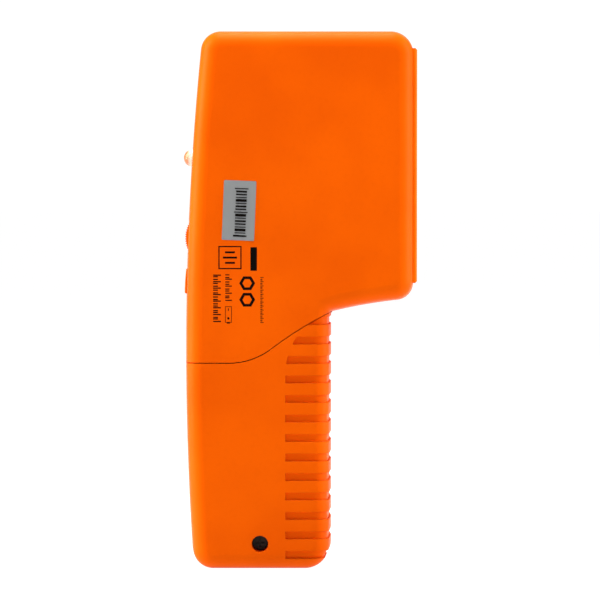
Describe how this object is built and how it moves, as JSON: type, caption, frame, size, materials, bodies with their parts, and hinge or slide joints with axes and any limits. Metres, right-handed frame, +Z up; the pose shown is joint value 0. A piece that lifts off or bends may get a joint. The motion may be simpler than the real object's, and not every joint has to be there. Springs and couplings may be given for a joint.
{
  "type": "handheld wall detector",
  "caption": "Pistol-shaped handheld wall detector with a broad sensing head, a ribbed battery grip, a thumb dial, a push button and an indicator lamp.",
  "frame": {"origin": "centre of the handle's flat end, in the parting plane of the two case halves", "axes": "+X from the thumb side to the sensing pad, +Y from the battery cover's face to the display face, +Z up the handle to the head"},
  "size_m": [0.067, 0.0301, 0.154],
  "materials": {
    "case_plastic": "satin moulded orange",
    "button_plastic": "satin moulded dark orange",
    "lamp_resin": "clear diffused resin",
    "black_plastic": "moulded black",
    "white_plastic": "moulded white",
    "board_laminate": "solder masked laminate",
    "tinned_metal": "tinned",
    "screw_steel": "black zinc",
    "capacitor_sleeve": "shrunk sleeve",
    "resistor_coat": "lacquered",
    "copper": "enamelled copper",
    "ferrite": "sintered",
    "battery_jacket": "printed steel jacket",
    "red_insulation": "extruded",
    "black_insulation": "extruded",
    "foam": "open cell",
    "label_film": "grey printed film"
  },
  "bodies": {
    "case": {"housing_front": "case_plastic", "housing_rear": "case_plastic", "sensor_pad": "case_plastic", "indicator_led": "lamp_resin", "led_spacer": "black_plastic", "led_legs": "tinned_metal", "control_body": "black_plastic", "switch_body": "black_plastic", "circuit_board": "board_laminate", "control_chip": "black_plastic", "chip_pins": "tinned_metal", "capacitors": "capacitor_sleeve", "resistors": "resistor_coat", "buzzer": "black_plastic", "coil_bobbin": "white_plastic", "coil_winding": "copper", "ferrite_core": "ferrite", "antenna_plate": "copper", "battery": "battery_jacket", "battery_terminals": "tinned_metal", "battery_clip": "black_plastic", "lead_positive": "red_insulation", "lead_negative": "black_insulation", "housing_screws": "screw_steel", "board_screws": "screw_steel", "rating_label": "label_film"},
    "cover": {"battery_cover": "case_plastic", "battery_pad": "foam"},
    "dial": {"tuning_dial": "case_plastic", "control_shaft": "tinned_metal", "dial_screw": "screw_steel"},
    "button": {"power_button": "button_plastic", "switch_plunger": "white_plastic"},
    "screw": {"cover_screw": "screw_steel"}
  },
  "joints": [
    {"name": "cover_lift", "type": "slide", "parent": "case", "child": "cover", "axis": [0, -1, 0], "range_m": [0, 0.045]},
    {"name": "screw_turn", "type": "hinge", "parent": "cover", "child": "screw", "pos_m": [0.001, -0.009, 0.00735], "axis": [0, -1, 0], "continuous": true},
    {"name": "dial_turn", "type": "hinge", "parent": "case", "child": "dial", "pos_m": [-0.01167, 0, 0.0945], "axis": [0, 1, 0], "range_deg": [-150, 150]},
    {"name": "button_press", "type": "slide", "parent": "case", "child": "button", "axis": [1, 0, 0], "range_m": [0, 0.0006], "stiffness_N_per_m": 1200, "springref_m": -0.0003}
  ]
}
